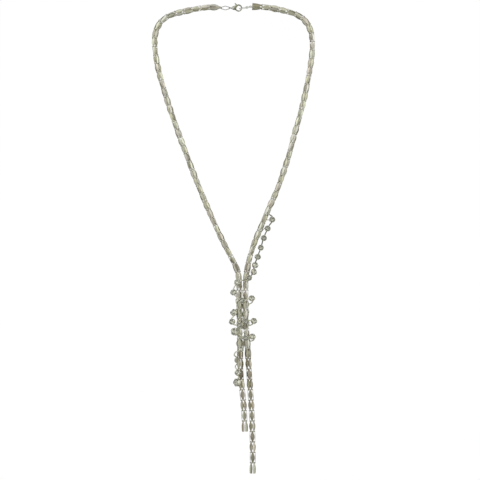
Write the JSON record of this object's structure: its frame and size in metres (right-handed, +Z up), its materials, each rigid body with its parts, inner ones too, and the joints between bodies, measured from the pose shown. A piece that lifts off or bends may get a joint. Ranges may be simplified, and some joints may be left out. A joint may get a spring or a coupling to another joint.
{
  "type": "statement necklace",
  "caption": "Long lariat necklace of round cage chain with a lobster clasp, a knot wound with round cut stones, and two hanging strands.",
  "frame": {"origin": "the nape, at the lobster clasp at the top middle of the neck loop, where the necklace hangs", "axes": "+Z up, +X to the right seen from the front, -Y towards the front; the necklace hangs in the X-Z plane"},
  "size_m": [0.1852, 0.0209, 0.5363],
  "materials": {
    "chain_metal": "polished, slightly warm silver tone",
    "string_wire": "polished silver tone wire",
    "cup_metal": "polished silver tone",
    "clasp_metal": "polished silver tone",
    "crystal": "clear cut glass with a silvered back"
  },
  "bodies": {
    "necklace": {"left_chain": "chain_metal", "right_chain": "chain_metal", "left_fringe": "chain_metal", "right_fringe": "chain_metal", "stone_string": "string_wire", "stone_cups_side": "cup_metal", "stone_cups_knot": "cup_metal", "stone_01": "crystal", "stone_02": "crystal", "stone_03": "crystal", "stone_04": "crystal", "stone_05": "crystal", "stone_06": "crystal", "stone_07": "crystal", "stone_08": "crystal", "stone_09": "crystal", "stone_10": "crystal", "stone_11": "crystal", "stone_12": "crystal", "stone_13": "crystal", "stone_14": "crystal", "stone_15": "crystal", "stone_16": "crystal", "stone_17": "crystal", "stone_18": "crystal", "stone_19": "crystal", "stone_20": "crystal", "stone_21": "crystal", "stone_22": "crystal", "stone_23": "crystal", "stone_24": "crystal", "stone_25": "crystal", "stone_26": "crystal", "stone_27": "crystal", "clasp_body": "clasp_metal", "clasp_ring": "clasp_metal", "oval_link": "clasp_metal", "catch_ring": "clasp_metal", "middle_ring": "clasp_metal", "end_link": "clasp_metal", "left_end": "chain_metal", "right_end": "chain_metal"},
    "lever": {"clasp_lever": "clasp_metal"}
  },
  "joints": [
    {"name": "lever_hinge", "type": "hinge", "parent": "necklace", "child": "lever", "pos_m": [-0.0009, 0, 0.00189], "axis": [0, 1, 0], "range_deg": [0, 20], "stiffness_Nm_per_rad": 0.0005, "springref_deg": -17.19}
  ]
}
